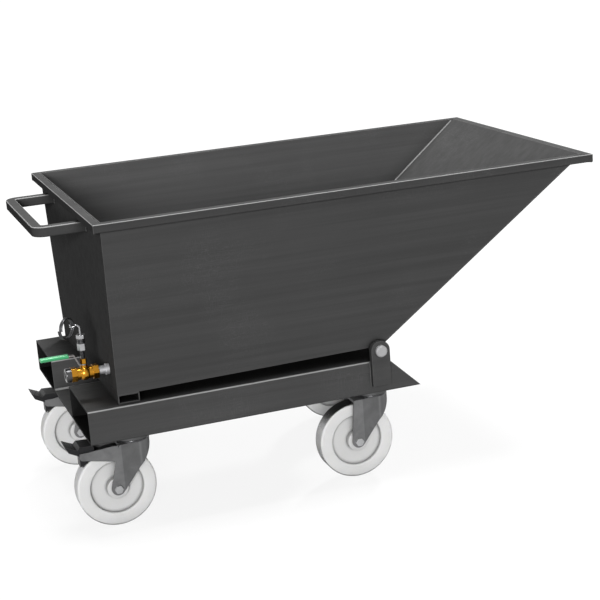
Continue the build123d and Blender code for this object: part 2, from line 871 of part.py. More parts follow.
crank_run = lever_crank_end - lever_crank_start
with BuildPart() as valve_lever:
    high = lever_low + lever_rise
    crank_skew = lever_thickness * (hypot(lever_rise, crank_run) - crank_run) / lever_rise
    strip = (
        (valve_x, lever_low),
        (valve_x, lever_low + lever_thickness),
        (valve_x - lever_crank_start, lever_low + lever_thickness),
        (valve_x - lever_crank_end, high + lever_thickness),
        (valve_x - lever_length + lever_thickness, high + lever_thickness),
        (valve_x - lever_length + lever_thickness, high),
        (valve_x - lever_crank_end - crank_skew, high),
        (valve_x - lever_crank_start - crank_skew, lever_low),
    )
    extrude(outline(side(0, drain_y), strip), amount=lever_width / 2, both=True)
    extrude(disc(up(valve_x, drain_y, lever_low), 2 * lever_root), amount=lever_thickness)
    extrude(
        disc(up(valve_x, drain_y, lever_low), stem_diameter + 2 * running_gap),
        amount=lever_thickness,
        mode=Mode.SUBTRACT,
    )
save(valve_lever, "valve_lever")

with BuildPart() as lever_grip:
    grip_z = high + lever_thickness / 2
    with BuildSketch(rearward(valve_x - grip_start, drain_y, grip_z)):
        RectangleRounded(grip_width, grip_height, grip_height / 2 - 1)
    extrude(amount=lever_length - grip_start)
    fillet(lever_grip.faces().sort_by(Axis.X)[0].edges(), grip_end)
    slot = rearward(valve_x - grip_start, drain_y, grip_z)
    slot_width = lever_width + 2 * running_gap
    slot_height = lever_thickness + 2 * running_gap
    extrude(
        box_face(slot, slot_width, slot_height),
        amount=lever_length - grip_start - lever_thickness + seat_gap,
        mode=Mode.SUBTRACT,
    )
save(lever_grip, "lever_grip")

with BuildPart() as lever_nut:
    extrude(hexagon(up(valve_x, drain_y, lever_nut_low), lever_nut_flats), amount=lever_nut_height)
    extrude(
        disc(up(valve_x, drain_y, lever_nut_low), stem_diameter + 2 * running_gap),
        amount=lever_nut_height,
        mode=Mode.SUBTRACT,
    )
save(lever_nut, "lever_nut")

# The strainer is a shallow tray of perforated sheet, open towards the rear wall.
with BuildPart() as drain_strainer:
    foot = rim_rear + wall_setback(drain_z + strainer_height / 2) + 2 * sheet
    back = rearward(foot + strainer_depth, drain_y, drain_z)
    inside = strainer_width - 2 * strainer_sheet
    extrude(box_face(back, strainer_width, strainer_height), amount=2 * strainer_depth)
    split(bisect_by=Plane(
        origin=(side_view[0].X, 0, rim_height),
        x_dir=(0, 1, 0),
        z_dir=(rear_normal.X, 0, rear_normal.Y),
    ).offset(sheet), keep=Keep.TOP)
    cavity = rearward(foot + strainer_depth - strainer_sheet, drain_y, drain_z)
    extrude(
        box_face(cavity, inside, strainer_height - 2 * strainer_sheet),
        amount=2 * strainer_depth,
        mode=Mode.SUBTRACT,
    )
    with BuildSketch(back):
        across_count = int(inside // strainer_pitch)
        up_count = int((strainer_height - 2 * strainer_sheet) // strainer_pitch)
        with GridLocations(strainer_pitch, strainer_pitch, across_count, up_count):
            Circle(strainer_hole / 2)
    extrude(amount=strainer_sheet, mode=Mode.SUBTRACT)
save(drain_strainer, "drain_strainer")

# Lever catch: a pin in the hollow stem, lifted by a ring.
with BuildPart() as catch_sleeve:
    extrude(hexagon(up(valve_x, drain_y, sleeve_low), catch_flats), amount=catch_sleeve_height)
    extrude(
        disc(up(valve_x, drain_y, sleeve_low), stem_diameter + 2 * seat_gap),
        amount=catch_seat + seat_gap,
        mode=Mode.SUBTRACT,
    )
    extrude(
        disc(up(valve_x, drain_y, sleeve_low), pin_bore),
        amount=catch_sleeve_height,
        mode=Mode.SUBTRACT,
    )
save(catch_sleeve, "catch_sleeve")

with BuildPart() as catch_collar:
    extrude(
        disc(up(valve_x, drain_y, sleeve_top), catch_collar_diameter, pin_bore),
        amount=catch_collar_height,
    )
    groove_low = (sleeve_top + collar_top - catch_groove) / 2
    groove_floor = catch_collar_diameter - 2 * catch_groove
    extrude(
        disc(up(valve_x, drain_y, groove_low), 2 * catch_collar_diameter, groove_floor),
        amount=catch_groove,
        mode=Mode.SUBTRACT,
    )
save(catch_collar, "catch_collar")

with BuildPart() as catch_nut:
    extrude(hexagon(up(valve_x, drain_y, collar_top), catch_flats), amount=catch_nut_height)
    extrude(
        disc(up(valve_x, drain_y, collar_top), pin_bore),
        amount=catch_nut_height,
        mode=Mode.SUBTRACT,
    )
save(catch_nut, "catch_nut")

pin_top = collar_top + catch_nut_height + catch_pin_rise
pin_end = valve_x - catch_pin_arm
with BuildPart() as catch_pin:
    with BuildLine():
        FilletPolyline(
            (valve_x, drain_y, pin_low + rest_gap),
            (valve_x, drain_y, pin_top),
            (pin_end, drain_y, pin_top),
            radius=catch_pin_bend,
        )
    with BuildSketch(up(valve_x, drain_y, pin_low + rest_gap)):
        Circle(catch_pin_diameter / 2)
    sweep()
save(catch_pin, "catch_pin")

with BuildPart() as catch_ring:
    ring_run = Vector(cos(radians(ring_turn)), sin(radians(ring_turn)), 0)
    ring_edge = Vector(pin_end - ring_wire / 2 - seat_gap, drain_y, pin_top)
    ring_middle = ring_edge - ring_run * (ring_diameter / 2)
    with BuildSketch(Plane(origin=ring_middle, x_dir=ring_run, z_dir=(0, 0, 1))):
        with Locations((ring_diameter / 2, 0)):
            Circle(ring_wire / 2)
    revolve(axis=Axis(ring_middle, (-ring_run.Y, ring_run.X, 0)))
save(catch_ring, "catch_ring")
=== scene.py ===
import math

import bpy
from bpy.props import FloatProperty, FloatVectorProperty, PointerProperty
from mathutils import Matrix, Vector


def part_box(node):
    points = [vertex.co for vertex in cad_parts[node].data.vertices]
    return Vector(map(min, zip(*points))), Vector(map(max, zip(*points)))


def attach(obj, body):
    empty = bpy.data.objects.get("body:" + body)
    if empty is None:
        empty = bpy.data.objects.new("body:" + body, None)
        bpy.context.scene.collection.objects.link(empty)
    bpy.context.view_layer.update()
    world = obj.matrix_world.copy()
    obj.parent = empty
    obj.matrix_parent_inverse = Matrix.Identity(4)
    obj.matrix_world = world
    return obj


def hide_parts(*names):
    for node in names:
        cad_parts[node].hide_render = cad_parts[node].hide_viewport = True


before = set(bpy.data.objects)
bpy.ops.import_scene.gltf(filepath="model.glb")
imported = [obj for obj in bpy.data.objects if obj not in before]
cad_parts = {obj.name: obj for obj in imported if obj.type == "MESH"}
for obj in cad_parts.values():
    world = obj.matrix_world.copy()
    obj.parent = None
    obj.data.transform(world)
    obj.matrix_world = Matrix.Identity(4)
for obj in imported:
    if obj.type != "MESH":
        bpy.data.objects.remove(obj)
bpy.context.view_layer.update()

bl_info = {
    "name": "Swarf bin dressing",
    "version": (1, 0, 0),
    "blender": (4, 5, 0),
    "location": "3D View > Sidebar > Swarf bin",
    "description": "Finishes and small fittings of a tipping swarf bin",
    "category": "Object",
}

CASTORS = ("front_left", "front_right", "rear_left", "rear_right")
BOTH = (-1, 1)

# Sizes of the frame's solids, in metres
BOLT_HEAD = 0.0064
BOLT_SPACING = (0.105, 0.080)
PEDAL_SLOPE = Vector((0.029, 0.0, -0.013))
NIPPLE_RADIUS = 0.0105
OUTLET_RADIUS = 0.0093

# Places of the small fittings, in metres or as shares
RIB_LENGTH = 0.050
RIB_SHARES = (0.14, 0.34, 0.54, 0.74)
WASHER_RADIUS = 0.0115
SEAL_BELOW_FORK_TOP = 0.001
HANDLE_WELD_INSET = 0.0012
NIPPLE_THREAD_OVERLAP = 0.003
NIPPLE_THREAD_RUN = 0.0060
OUTLET_THREAD_INSET = 0.0015
OUTLET_THREAD_RUN = 0.0105
STEM_THREAD_OVERLAP = 0.001

# Shares of a wheel's radius: where the web begins, and where painted shade starts, is thickest and ends in
# its corners
WEB_EDGE = (0.68, 0.66)
WEB_CORNER_SHADE = ((0.60, 0.66, 0.70), (0.26, 0.275, 0.33))

# Colours of wear; the coat's worn edge colour also serves as a painted highlight
PAINT_DUST = (0.20, 0.20, 0.195, 1.0)
PAINT_SCRATCH = (0.24, 0.24, 0.245, 1.0)
PAINT_RUBBED_AND_HIGHLIGHT = (0.36, 0.36, 0.36, 1.0)
PEDAL_DUST = (0.16, 0.16, 0.155, 1.0)
PEDAL_SCRATCH = (0.15, 0.15, 0.15, 1.0)
PEDAL_RUBBED = (0.22, 0.22, 0.225, 1.0)
TREAD_DIRT = (0.33, 0.32, 0.30, 1.0)
VINYL_RUBBED = (0.35, 0.75, 0.5, 1.0)

# Stage
WHITE = (1.0, 1.0, 1.0, 1.0)
FLOOR_SIZE = 80.0
FLOOR_DROP = 0.0006
FLOOR_GLOW = 0.88
FLOOR_BOUNCE = (0.06, 0.06, 0.06, 1.0)
SKY_BRIGHTEST = (0.20, -0.10, 0.97)

# Camera that was fitted to corners in the photograph
CAMERA_PLACE = (-1.21666, -3.78327, 1.51133)
CAMERA_RIGHT = Vector((0.93994289, -0.33318511, -0.07412854))
CAMERA_UP = Vector((0.15550255, 0.2246671, 0.96194784))
SENSOR_WIDTH = 36.0

VECTOR = "NodeSocketVector"
NUMBER = "NodeSocketFloat"


# Places that are read from the frame

def middle(node):
    """Centre of a node's box."""
    low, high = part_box(node)
    return (low + high) / 2


def span(node, axis):
    """Size of a node's box along an axis from 0 to 2."""
    low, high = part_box(node)
    return high[axis] - low[axis]


def corner(node, x, y, z):
    """Corner of a node's box, each direction given as -1 or 1."""
    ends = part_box(node)
    return Vector((ends[x > 0].x, ends[y > 0].y, ends[z > 0].z))


def face_corners(node, direction):
    """Lowest and highest corner, on the +Y side, of the faces that look in a direction."""
    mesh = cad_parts[node].data
    points = []
    for face in mesh.polygons:
        if face.normal.dot(direction) > 0.95:
            points.extend(mesh.vertices[index].co for index in face.vertices)
    low = min(points, key=lambda point: (round(point.z, 4), -point.y))
    high = max(points, key=lambda point: (round(point.z, 4), point.y))
    return low.copy(), high.copy()


# Sizes and colours that a user would change

def colour(name, description, default):
    return FloatVectorProperty(
        name=name, description=description, subtype="COLOR", size=3, min=0.0, max=1.0, default=default
    )


def length(name, description, default):
    return FloatProperty(
        name=name, description=description, subtype="DISTANCE", unit="LENGTH", min=0.0, default=default
    )


def strength(name, description, default):
    return FloatProperty(name=name, description=description, min=0.0, default=default)


class SwarfFinish(bpy.types.PropertyGroup):
    """Colours of the finishes."""

    paint: colour("Powder coat", "Anthracite coat of the trough and the base", (0.0655, 0.0655, 0.0655))
    zinc: colour("Zinc", "Plating of the castors", (0.165, 0.166, 0.168))
    wheel: colour("Wheel", "Natural polyamide of the wheels", (0.80, 0.80, 0.795))
    pedal: colour("Pedal", "Black coat of the brake pedals", (0.018, 0.018, 0.019))
    pin_steel: colour("Pin steel", "Turned steel of the hinge pins", (0.40, 0.40, 0.405))
    brass: colour("Brass", "Cast brass of the drain valve", (0.42, 0.195, 0.02))
    chrome: colour("Chrome", "Plating of the drain fittings and the catch", (0.38, 0.38, 0.39))
    steel: colour("Steel", "Plain steel of the lever and the strainer", (0.20, 0.19, 0.185))
    grip: colour("Grip", "Green vinyl of the lever's sleeve", (0.03, 0.33, 0.12))
    dark_steel: colour("Dark steel", "Blackened steel of stem, pull ring and seals", (0.06, 0.06, 0.063))


class SwarfDetail(bpy.types.PropertyGroup):
    """Sizes of the small fittings."""

    edge: length("Edge rounding", "Rounding that the light shows on bent and cut edges", 0.0022)
    weld: length("Weld", "Half width of the weld beads on the base", 0.0026)
    seam: length("Seam", "Half width of the weld beads on the trough", 0.0018)
    rib: length("Tread rib", "Half width of the ribs on the brake pedals", 0.0014)
    seal: length("Race seal", "Width of the seal below each swivel race", 0.0022)
    washer: length("Washer", "Thickness of the washers under the castor bolts", 0.0016)
    pipe_pitch: length("Pipe thread", "Pitch of the threads on the drain fittings", 0.0018)
    ring_wire: length("Ring wire", "Thickness of the catch's split ring, which has two turns", 0.0046)
    hook_wire: length("Hook wire", "Thickness of the hook that holds the split ring", 0.0038)
    stem_pitch: length("Stem thread", "Pitch of the thread on the valve stem", 0.00125)


class SwarfStage(bpy.types.PropertyGroup):
    """Floor, light and camera."""

    floor: colour("Floor", "Pale studio floor", (0.86, 0.86, 0.86))
    top: strength("Top light", "Strength of the soft light overhead", 4.2)
    front: strength("Front light", "Strength of the light by the camera", 2.8)
    back: strength("Back light", "Strength of the light behind", 2.2)
    lens: FloatProperty(
        name="Lens", description="Focal length on a 36 mm sensor", subtype="DISTANCE_CAMERA", default=92.376
    )


# Shader helpers

def connect(tree, node, inputs):
    """Give a node's inputs their values, or links from other nodes."""
    for key, value in inputs.items():
        if isinstance(value, bpy.types.NodeSocket):
            tree.links.new(value, node.inputs[key])
        else:
            node.inputs[key].default_value = value


def put(tree, kind, inputs=None, **settings):
    """Add a node, with its settings and with values or links for its inputs."""
    made = tree.nodes.new(kind)
    for name, value in settings.items():
        setattr(made, name, value)
    connect(tree, made, inputs or {})
    return made


def math_node(tree, operation, first, second=0.0, third=0.0):
    inputs = {0: first, 1: second, 2: third}
    return put(tree, "ShaderNodeMath", inputs, operation=operation).outputs[0]


def product(tree, first, second):
    return math_node(tree, "MULTIPLY", first, second)


def greater(tree, first, second):
    return math_node(tree, "MAXIMUM", first, second)


def noise(tree, place, scale, detail, roughness=0.5, distortion=0.0):
    """Cloudy value between 0 and 1."""
    inputs = {
        "Vector": place,
        "Scale": scale,
        "Detail": detail,
        "Roughness": roughness,
        "Distortion": distortion,
    }
    return put(tree, "ShaderNodeTexNoise", inputs).outputs["Fac"]


def blend_colours(tree, factor, first, second):
    """Mix two colours. In a Mix node the colour sockets are 6 and 7."""
    inputs = {0: factor, 6: first, 7: second}
    return put(tree, "ShaderNodeMix", inputs, data_type="RGBA").outputs[2]


def laid_over(tree, coat, rgba, mask, share):
    """Coat with a colour over it where a mask is set, up to a share."""
    return blend_colours(tree, product(tree, mask, share), coat, rgba)


def spread(tree, value, low, high, to_low=0.0, to_high=1.0):
    """Stretch a value from one range to another."""
    inputs = {0: value, 1: low, 2: high, 3: to_low, 4: to_high}
    return put(tree, "ShaderNodeMapRange", inputs, clamp=True).outputs[0]


def from_centre(tree, place, centre):
    """Place as it is seen from a centre."""
    return put(tree, "ShaderNodeVectorMath", {0: place, 1: centre}, operation="SUBTRACT").outputs[0]


def own_normal(tree):
    """Parts of the face's direction as the piece has it at rest, so that a pattern stays when it moves."""
    face = put(tree, "ShaderNodeNewGeometry").outputs["True Normal"]
    turned = put(
        tree,
        "ShaderNodeVectorTransform",
        {0: face},
        vector_type="NORMAL",
        convert_from="WORLD",
        convert_to="OBJECT",
    )
    return put(tree, "ShaderNodeSeparateXYZ", {0: turned.outputs[0]}).outputs


def new_group(name, inputs, outputs):
    """Empty shader group with named sockets."""
    tree = bpy.data.node_groups.new(name, "ShaderNodeTree")
    for label, kind, default in inputs:
        socket = tree.interface.new_socket(label, in_out="INPUT", socket_type=kind)
        if default is not None:
            socket.default_value = default
    for label, kind in outputs:
        tree.interface.new_socket(label, in_out="OUTPUT", socket_type=kind)
    return tree, tree.nodes.new("NodeGroupInput").outputs, tree.nodes.new("NodeGroupOutput")


def group_rolled_streaks():
    """Faint streaks along X, as rolled sheet shows under a thin coat."""
    tree, given, out = new_group(
        "Rolled streaks",
        [("Vector", VECTOR, None), ("Streaks per metre", NUMBER, 55.0)],
        [("Mask", NUMBER)],
    )
    across = given["Streaks per metre"]
    stretch = put(tree, "ShaderNodeCombineXYZ", {"X": 1.1, "Y": across, "Z": across})
    place = put(
        tree, "ShaderNodeVectorMath", {0: given["Vector"], 1: stretch.outputs[0]}, operation="MULTIPLY"
    )
    streak = noise(tree, place.outputs[0], 1.0, 4.0, 0.62)
    connect(tree, out, {"Mask": spread(tree, streak, 0.3, 0.7)})
    return tree


def group_orange_peel():
    """Fine pimpled surface of powder coat or moulded plastic."""
    tree, given, out = new_group(
        "Orange peel",
        [("Vector", VECTOR, None), ("Scale", NUMBER, 420.0)],
        [("Height", NUMBER), ("Speckle", NUMBER)],
    )
    fine = noise(tree, given["Vector"], given["Scale"], 2.0)
    grain = noise(tree, given["Vector"], 1900.0, 1.0)
    connect(tree, out, {"Height": fine, "Speckle": spread(tree, grain, 0.35, 0.65)})
    return tree


def group_worn_and_highlit_edges():
    """Rounded normal at the edges, and a broken mask along them. The powder coat lightens these edges partly
    as wear and partly as a painted highlight.
    """
    tree, given, out = new_group(
        "Worn and highlit edges",
        [("Vector", VECTOR, None), ("Radius", NUMBER, 0.0015), ("Patches", NUMBER, 9.0)],
        [("Mask", NUMBER), ("Normal", VECTOR)],
    )
    rounded = put(tree, "ShaderNodeBevel", {"Radius": given["Radius"]}, samples=6).outputs[0]
    flat = put(tree, "ShaderNodeNewGeometry").outputs["True Normal"]
    facing = put(tree, "ShaderNodeVectorMath", {0: rounded, 1: flat}, operation="DOT_PRODUCT")
    edge = spread(tree, facing.outputs["Value"], 0.995, 0.82)
    patch = noise(tree, given["Vector"], given["Patches"], 5.0, 0.65)
    worn = spread(tree, patch, 0.36, 0.62, 0.25, 1.0)
    connect(tree, out, {"Mask": product(tree, edge, worn), "Normal": rounded})
    return tree


def group_scuffs():
    """Short fine scratches in two directions."""
    tree, given, out = new_group(
        "Scuffs",
        [("Vector", VECTOR, None), ("Scale", NUMBER, 14.0)],
        [("Mask", NUMBER)],
    )
    marks = []
    for turn, stretch in ((0.5, (1.0, 1.0, 26.0)), (-0.8, (22.0, 22.0, 1.0))):
        drawn = put(
            tree,
            "ShaderNodeMapping",
            {"Vector": given["Vector"], "Rotation": (turn, turn * 0.6, turn), "Scale": stretch},
        )
        cell = put(
            tree,
            "ShaderNodeTexVoronoi",
            {"Vector": drawn.outputs[0], "Scale": given["Scale"]},
            feature="DISTANCE_TO_EDGE",
        )
        marks.append(spread(tree, cell.outputs["Distance"], 0.045, 0.0))
    where = noise(tree, given["Vector"], 5.5, 3.0)
    both = greater(tree, marks[0], marks[1])
    connect(tree, out, {"Mask": product(tree, both, spread(tree, where, 0.5, 0.72))})
    return tree


def group_dust():
    """Thin grey dust that settles on faces that look up."""
    tree, given, out = new_group(
        "Settled dust",
        [("Vector", VECTOR, None), ("Scale", NUMBER, 7.0)],
        [("Mask", NUMBER)],
    )
    cloud = noise(tree, given["Vector"], given["Scale"], 6.0, 0.7)
    level = spread(tree, own_normal(tree)[2], 0.35, 0.95)
    connect(tree, out, {"Mask": product(tree, level, spread(tree, cloud, 0.3, 0.7))})
    return tree


def group_painted_shade():
    """Painted shade: masks of places deep between neighbours and deep inside a tube, where shade falls."""
    tree, given, out = new_group(
        "Painted shade",
        [("Reach", NUMBER, 0.15), ("Open", NUMBER, 0.75), ("Deep", NUMBER, 0.15)],
        [("Mask", NUMBER), ("Inside", NUMBER)],
    )
    around = put(tree, "ShaderNodeAmbientOcclusion", {"Distance": given["Reach"]}, samples=8)
    within = put(tree, "ShaderNodeAmbientOcclusion", {"Distance": 0.4}, samples=8, only_local=True)
    hidden = spread(tree, around.outputs["AO"], given["Open"], given["Deep"])
    connect(tree, out, {"Mask": hidden, "Inside": spread(tree, within.outputs["AO"], 0.88, 0.45)})
    return tree


def group_turned_rings():
    """Fine rings about an axis along Y, as a lathe leaves them."""
    tree, given, out = new_group(
        "Turned rings",
        [("Vector", VECTOR, None), ("Rings per metre", NUMBER, 900.0)],
        [("Mask", NUMBER), ("Radius", NUMBER)],
    )
    part = put(tree, "ShaderNodeSeparateXYZ", {0: given["Vector"]})
    flat = put(tree, "ShaderNodeCombineXYZ", {"X": part.outputs[0], "Y": 0.0, "Z": part.outputs[2]})
    radius = put(tree, "ShaderNodeVectorMath", {0: flat.outputs[0]}, operation="LENGTH").outputs["Value"]
    step = product(tree, radius, given["Rings per metre"])
    line = put(tree, "ShaderNodeTexNoise", {"W": step, "Scale": 1.0, "Detail": 3.0}, noise_dimensions="1D")
    connect(tree, out, {"Mask": spread(tree, line.outputs["Fac"], 0.3, 0.7), "Radius": radius})
    return tree


groups = {}


def shared(name):
    """Shared shader group, built on its first use."""
    makers = {
        "streaks": group_rolled_streaks,
        "peel": group_orange_peel,
        "edges": group_worn_and_highlit_edges,
        "scuffs": group_scuffs,
        "dust": group_dust,
        "rings": group_turned_rings,
        "shelter": group_painted_shade,
    }
    if name not in groups:
        groups[name] = makers[name]()
    return groups[name]


def use(tree, name, vector, **values):
    """Place a shared group in a material. Values name its inputs with spaces as underscores."""
    made = tree.nodes.new("ShaderNodeGroup")
    made.node_tree = shared(name)
    if vector is not None:
        tree.links.new(vector, made.inputs["Vector"])
    for key, value in values.items():
        made.inputs[key.replace("_", " ")].default_value = value
    return made.outputs


def new_material(name):
    """Material with a Principled shader. Gives its tree, shader and object coordinates."""
    made = bpy.data.materials.new(name)
    made.use_nodes = True
    tree = made.node_tree
    shader = tree.nodes["Principled BSDF"]
    return made, tree, shader, tree.nodes.new("ShaderNodeTexCoord").outputs["Object"]


def tint(rgb, gain):
    return tuple(min(1.0, part * gain) for part in rgb) + (1.0,)


def relief(tree, shader, height, amount, distance, normal):
    """Bump from a height, laid over a normal."""
    inputs = {"Height": height, "Strength": amount, "Distance": distance, "Normal": normal}
    connect(tree, shader, {"Normal": put(tree, "ShaderNodeBump", inputs).outputs[0]})


def rubbed_and_highlit_corners(tree):
    """Mask of the rounded upper corners of level tubes, where hands, hooks and forks rub and where a painted
    highlight stands for the overhead light's glint.
    """
    up = own_normal(tree)[2]
    return product(tree, spread(tree, up, 0.1, 0.35), spread(tree, up, 0.98, 0.85))


# Finishes

def powder_coat(name="anthracite powder coat", tube=False, gain=1.0, painted_shade_share=0.9):
    """Matt anthracite coat on rolled sheet. Edges are lighter, partly by wear and partly as a painted
    highlight, and places between parts get painted shade. Tubes also get lighter upper corners, partly worn
    and partly a painted highlight, and painted shade inside.
    """
    rgb = [part * gain for part in bpy.context.scene.swarf_finish.paint]
    made, tree, shader, place = new_material(name)
    streak = use(tree, "streaks", place)["Mask"]
    peel = use(tree, "peel", place)
    edge = use(tree, "edges", place, Radius=bpy.context.scene.swarf_detail.edge)
    dust = use(tree, "dust", place)["Mask"]
    scuff = use(tree, "scuffs", place)["Mask"]
    shelter = use(tree, "shelter", None, Reach=0.1, Open=0.74, Deep=0.2)
    cloud = noise(tree, place, 3.2, 5.0, 0.6)
    tone = math_node(tree, "MULTIPLY_ADD", streak, 0.6, product(tree, cloud, 0.4))
    coat = blend_colours(tree, tone, tint(rgb, 0.80), tint(rgb, 1.20))
    coat = laid_over(tree, coat, tint(rgb, 1.7), peel["Speckle"], 0.16)
    coat = laid_over(tree, coat, PAINT_DUST, dust, 0.10)
    coat = laid_over(tree, coat, PAINT_SCRATCH, scuff, 0.14)
    # Lighter edges: partly wear, partly a painted highlight
    rubbed_and_highlight = product(tree, edge["Mask"], 0.35)
    # Painted shade between neighbouring parts, and on tubes also inside them
    painted_shade_mask = product(tree, shelter["Mask"], painted_shade_share)
    if tube:
        rubbed_and_highlight = greater(tree, rubbed_and_highlight, product(tree, rubbed_and_highlit_corners(tree), 0.8))
        painted_shade_mask = greater(tree, painted_shade_mask, product(tree, shelter["Inside"], 0.95))
    coat = blend_colours(tree, rubbed_and_highlight, coat, PAINT_RUBBED_AND_HIGHLIGHT)
    coat = blend_colours(tree, painted_shade_mask, coat, tint(rgb, 0.06))
    wear = math_node(tree, "MULTIPLY_ADD", scuff, 0.2, cloud)
    smooth = spread(tree, wear, 0.25, 0.8, 0.36, 0.50)
    rough = math_node(tree, "MULTIPLY_ADD", dust, 0.35, smooth)
    connect(tree, shader, {"Base Color": coat, "Roughness": rough, "Specular IOR Level": 0.0})
    relief(tree, shader, peel["Height"], 0.25, 0.0002, edge["Normal"])
    return made


def zinc_plate(name="zinc plate", gain=1.0, pressed=False):
    """Cloudy grey plating, with painted shade between parts. On pressed forks the drawn-in sides are darkened
    against the legs as painted shade.
    """
    rgb = [part * gain for part in bpy.context.scene.swarf_finish.zinc]
    made, tree, shader, place = new_material(name)
    shelter = use(tree, "shelter", None, Reach=0.05, Open=0.6, Deep=0.1)["Mask"]
    edge = use(tree, "edges", place, Radius=0.0012)
    peel = use(tree, "peel", place, Scale=260.0)
    scuff = use(tree, "scuffs", place, Scale=30.0)["Mask"]
    cloud = noise(tree, place, 26.0, 6.0, 0.62, 0.4)
    coat = blend_colours(tree, spread(tree, cloud, 0.3, 0.7), tint(rgb, 0.8), tint(rgb, 1.2))
    coat = laid_over(tree, coat, tint(rgb, 1.7), scuff, 0.35)
    coat = laid_over(tree, coat, tint(rgb, 1.9), edge["Mask"], 0.4)
    if pressed:
        # Painted shade: the drawn-in sides of the fork are darkened against the legs
        across, along = (math_node(tree, "ABSOLUTE", own_normal(tree)[axis]) for axis in (1, 0))
        drawn = product(tree, spread(tree, across, 0.9, 0.97), spread(tree, along, 0.04, 0.09))
        coat = laid_over(tree, coat, tint(rgb, 0.4), drawn, 0.3)
    # Painted shade where other parts are near
    coat = laid_over(tree, coat, tint(rgb, 0.15), shelter, 0.8)
    rough = spread(tree, cloud, 0.25, 0.75, 0.46, 0.62)
    connect(tree, shader, {"Base Color": coat, "Roughness": rough})
    connect(tree, shader, {"Metallic": 0.15, "Specular IOR Level": 0.1})
    relief(tree, shader, peel["Height"], 0.2, 0.00015, edge["Normal"])
    return made


def wheel_plastic(node):
    """Natural polyamide, turned on its faces, with dirt on the tread. The tread is lightened as painted
    light, and the web, its corners, places near other parts and the tread's top under the base are darkened
    as painted shade.
    """
    rgb = bpy.context.scene.swarf_finish.wheel
    made, tree, shader, place = new_material("polyamide of " + node)
    ring = use(tree, "rings", from_centre(tree, place, tuple(middle(node))), Rings_per_metre=420.0)
    edge = use(tree, "edges", place, Radius=0.0015)
    scuff = use(tree, "scuffs", place, Scale=24.0)["Mask"]
    cloud = noise(tree, place, 18.0, 5.0)
    radius = span(node, 2) / 2
    tread = spread(tree, ring["Radius"], radius - 0.004, radius - 0.0005)
    plain = blend_colours(tree, cloud, tint(rgb, 0.94), tint(rgb, 1.05))
    plain = laid_over(tree, plain, tint(rgb, 0.80), ring["Mask"], 0.10)
    dirt = product(tree, tread, spread(tree, cloud, 0.35, 0.7, 0.0, 0.22))
    plain = blend_colours(tree, dirt, plain, TREAD_DIRT)
    # Painted light: the tread is lightened where the lamps leave it dim
    plain = laid_over(tree, plain, tint(rgb, 1.25), tread, 0.8)
    # Painted shade: the recessed web is darkened
    web = spread(tree, ring["Radius"], radius * WEB_EDGE[0], radius * WEB_EDGE[1])
    plain = laid_over(tree, plain, tint(rgb, 0.78), web, 0.5)
    # Painted shade in the corners of the recess wall and round the hub
    for start, thickest, end in WEB_CORNER_SHADE:
        rise = spread(tree, ring["Radius"], radius * start, radius * thickest)
        fall = spread(tree, ring["Radius"], radius * end, radius * thickest)
        plain = laid_over(tree, plain, tint(rgb, 0.22), math_node(tree, "MINIMUM", rise, fall), 0.45)
    plain = laid_over(tree, plain, tint(rgb, 0.6), scuff, 0.18)
    # Painted shade where other parts are near
    shelter = use(tree, "shelter", None, Reach=0.1, Open=0.62, Deep=0.2)["Mask"]
    plain = laid_over(tree, plain, tint(rgb, 0.18), shelter, 0.8)
    # Painted shade on the tread's top, deep under the base
    tread_painted_shade = use(tree, "shelter", None, Reach=0.3, Open=0.50, Deep=0.36)["Mask"]
    plain = laid_over(tree, plain, tint(rgb, 0.03), tread_painted_shade, tread)
    connect(tree, shader, {
        "Base Color": plain,
        "Roughness": spread(tree, cloud, 0.3, 0.7, 0.4, 0.55),
        "Specular IOR Level": 0.15,
        "Subsurface Weight": 0.8,
        "Subsurface Radius": (1.0, 1.0, 0.95),
        "Subsurface Scale": 0.02,
    })
    relief(tree, shader, ring["Mask"], 0.12, 0.0002, edge["Normal"])
    return made


def black_coat():
    """Black coat of the pedals, rubbed by boots."""
    rgb = bpy.context.scene.swarf_finish.pedal
    made, tree, shader, place = new_material("black pedal coat")
    edge = use(tree, "edges", place, Radius=0.0015, Patches=40.0)
    peel = use(tree, "peel", place, Scale=600.0)
    scuff = use(tree, "scuffs", place, Scale=45.0)["Mask"]
    dust = use(tree, "dust", place, Scale=30.0)["Mask"]
    coat = blend_colours(tree, peel["Speckle"], tint(rgb, 0.8), tint(rgb, 1.5))
    coat = laid_over(tree, coat, PEDAL_DUST, dust, 0.12)
    coat = laid_over(tree, coat, PEDAL_SCRATCH, scuff, 0.3)
    coat = laid_over(tree, coat, PEDAL_RUBBED, edge["Mask"], 0.45)
    rough = spread(tree, peel["Height"], 0.3, 0.7, 0.32, 0.5)
    connect(tree, shader, {"Base Color": coat, "Roughness": rough, "Specular IOR Level": 0.1})
    relief(tree, shader, peel["Height"], 0.3, 0.0002, edge["Normal"])
    return made


def turned_steel(name, rgb, node, smooth):
    """Turned steel with rings about the node's axis along Y."""
    made, tree, shader, place = new_material(name)
    centre = middle(node)
    about = from_centre(tree, place, (centre.x, 0.0, centre.z))
    ring = use(tree, "rings", about, Rings_per_metre=1600.0)["Mask"]
    edge = use(tree, "edges", place, Radius=0.0008, Patches=60.0)
    cloud = noise(tree, place, 90.0, 4.0)
    coat = blend_colours(tree, ring, tint(rgb, 0.82), tint(rgb, 1.12))
    coat = laid_over(tree, coat, tint(rgb, 1.4), edge["Mask"], 0.5)
    rough = spread(tree, cloud, 0.3, 0.7, smooth, smooth + 0.14)
    connect(tree, shader, {"Base Color": coat, "Roughness": rough})
    connect(tree, shader, {"Metallic": 0.3, "Specular IOR Level": 0.2})
    relief(tree, shader, ring, 0.15, 0.0001, edge["Normal"])
    return made


